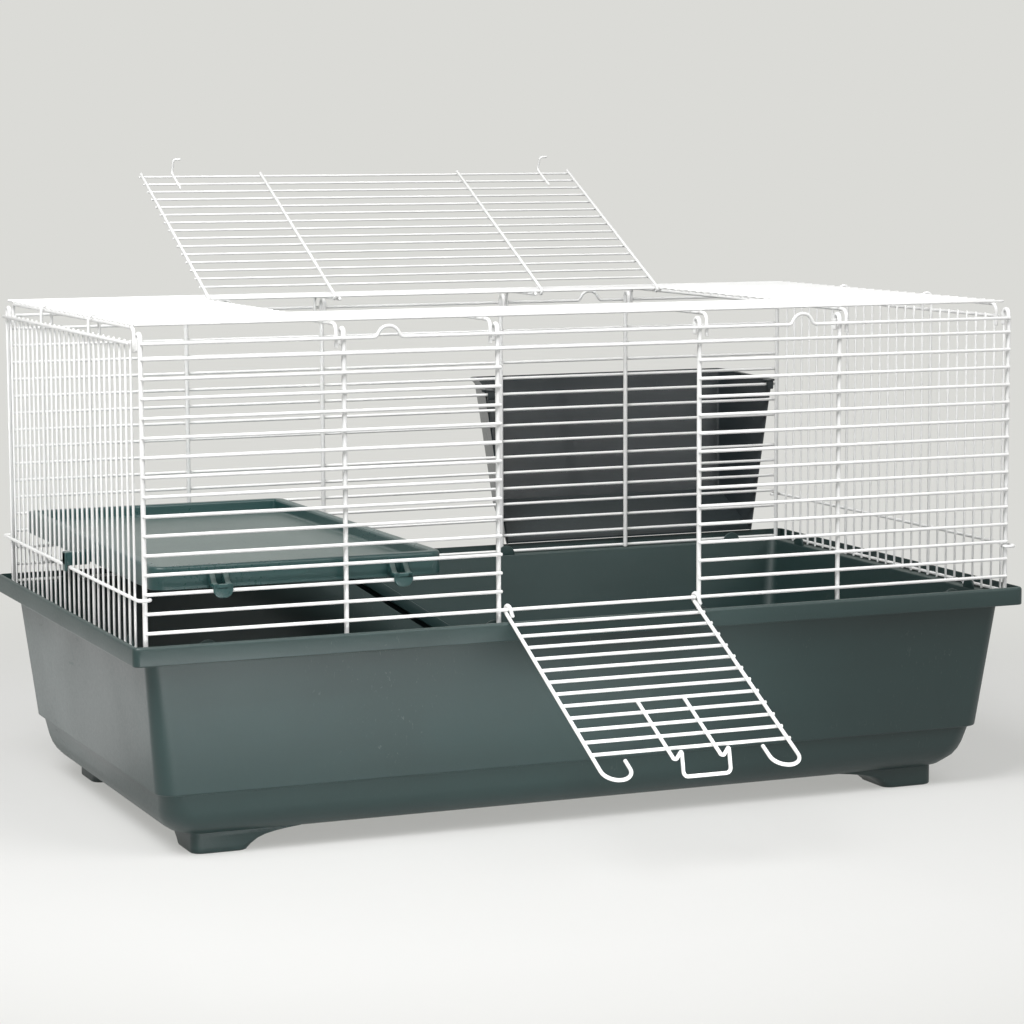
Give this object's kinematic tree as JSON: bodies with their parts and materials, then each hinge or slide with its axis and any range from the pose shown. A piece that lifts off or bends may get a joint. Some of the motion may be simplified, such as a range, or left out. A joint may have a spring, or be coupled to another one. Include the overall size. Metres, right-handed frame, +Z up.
{
  "type": "guinea pig cage",
  "caption": "Wire small-animal cage with a moulded tub, a drop-down front door, a hinged roof lid, a shelf with a ramp and a hay rack hung on the back.",
  "frame": {"origin": "on the floor, under the middle of the tub", "axes": "+X to the right along the front, +Y from the front to the back, +Z up"},
  "size_m": [1, 0.9664, 0.6897],
  "materials": {
    "tub_plastic": "satin moulded",
    "shelf_plastic": "smooth moulded",
    "ramp_plastic": "satin moulded",
    "rack_plastic": "smooth moulded",
    "panel_wire": "white coated",
    "door_wire": "white coated",
    "lid_wire": "white coated"
  },
  "bodies": {
    "base": {"base_tray": "tub_plastic"},
    "wire_top": {"front_top_rail": "panel_wire", "front_long_rails": "panel_wire", "front_left_rails": "panel_wire", "front_right_rails": "panel_wire", "front_posts": "panel_wire", "back_top_rail": "panel_wire", "back_rails": "panel_wire", "back_posts": "panel_wire", "left_bars": "panel_wire", "left_hook_bars": "panel_wire", "left_rails": "panel_wire", "left_low_rail": "panel_wire", "right_bars": "panel_wire", "right_hook_bars": "panel_wire", "right_rails": "panel_wire", "right_low_rail": "panel_wire", "roof_long_wires": "panel_wire", "roof_side_wires": "panel_wire", "roof_edge_rods": "panel_wire", "roof_inner_rods": "panel_wire", "roof_front_short_rods": "panel_wire", "roof_back_short_rods": "panel_wire"},
    "front_door": {"door_rungs": "door_wire", "door_side_wires": "door_wire", "door_latch": "door_wire"},
    "roof_lid": {"lid_wires": "lid_wire", "lid_side_rods": "lid_wire", "lid_mid_rods": "lid_wire", "lid_catches": "lid_wire"},
    "shelf": {"shelf": "shelf_plastic"},
    "ramp": {"ramp": "ramp_plastic"},
    "hay_rack": {"hay_rack": "rack_plastic"}
  },
  "joints": [
    {"name": "wire_top_lift", "type": "slide", "parent": "base", "child": "wire_top", "axis": [0, 0, 1], "range_m": [0, 0.26]},
    {"name": "front_door_hinge", "type": "hinge", "parent": "wire_top", "child": "front_door", "pos_m": [0, -0.273, 0.236], "axis": [-1, 0, 0], "range_deg": [0, 117.2]},
    {"name": "roof_lid_hinge", "type": "hinge", "parent": "wire_top", "child": "roof_lid", "pos_m": [0, 0.182, 0.53425], "axis": [1, 0, 0], "range_deg": [0, 153]},
    {"name": "shelf_lift", "type": "slide", "parent": "wire_top", "child": "shelf", "axis": [0, 0, 1], "range_m": [0, 0.0095]},
    {"name": "ramp_hinge", "type": "hinge", "parent": "shelf", "child": "ramp", "pos_m": [-0.2, 0.162, 0.2735], "axis": [0, -1, 0], "range_deg": [0, 18]},
    {"name": "rack_lift", "type": "slide", "parent": "wire_top", "child": "hay_rack", "axis": [0, 0, 1], "range_m": [0, 0.009]}
  ]
}
